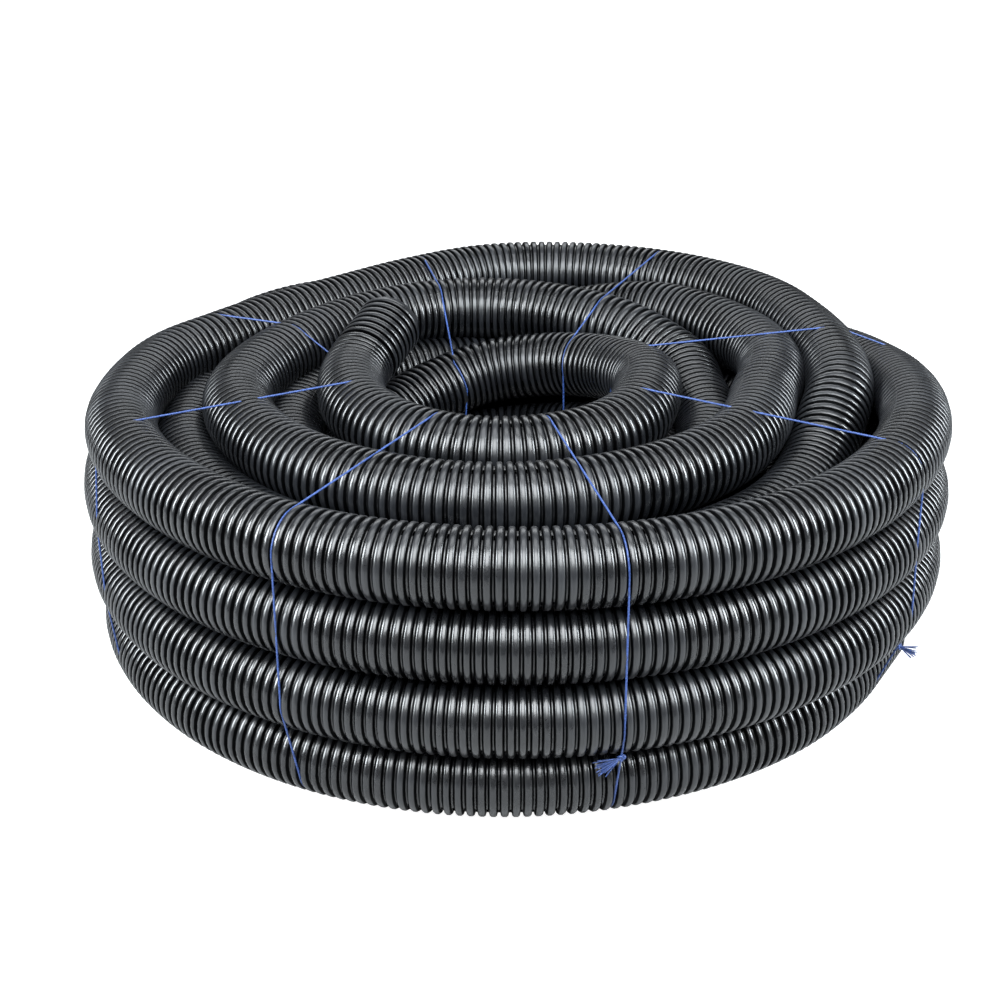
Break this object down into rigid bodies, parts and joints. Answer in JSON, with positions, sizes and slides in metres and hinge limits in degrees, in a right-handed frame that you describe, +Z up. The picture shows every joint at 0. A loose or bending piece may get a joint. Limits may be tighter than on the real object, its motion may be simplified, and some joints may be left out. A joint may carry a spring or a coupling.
{
  "type": "corrugated drainage pipe coil",
  "caption": "Coil of perforated corrugated plastic land drainage pipe lying flat, tied with loops of thin twine, both cut ends open",
  "frame": {"origin": "Centre of the coil's footprint, on the surface that it lies on", "axes": "+Z up along the coil's axis; -Y towards the viewer of the picture; +X to the viewer's right"},
  "size_m": [1.254, 1.2605, 0.4348],
  "materials": {
    "pipe": "semi-gloss black polyethylene, slightly dusty",
    "twine": "thin blue polypropylene twine"
  },
  "bodies": {
    "root": {"pipe": "pipe", "tie_1": "twine", "tie_2": "twine", "tie_3": "twine", "tie_4": "twine", "tie_5": "twine", "tie_6": "twine", "tie_7": "twine", "tie_8": "twine"}
  },
  "joints": []
}
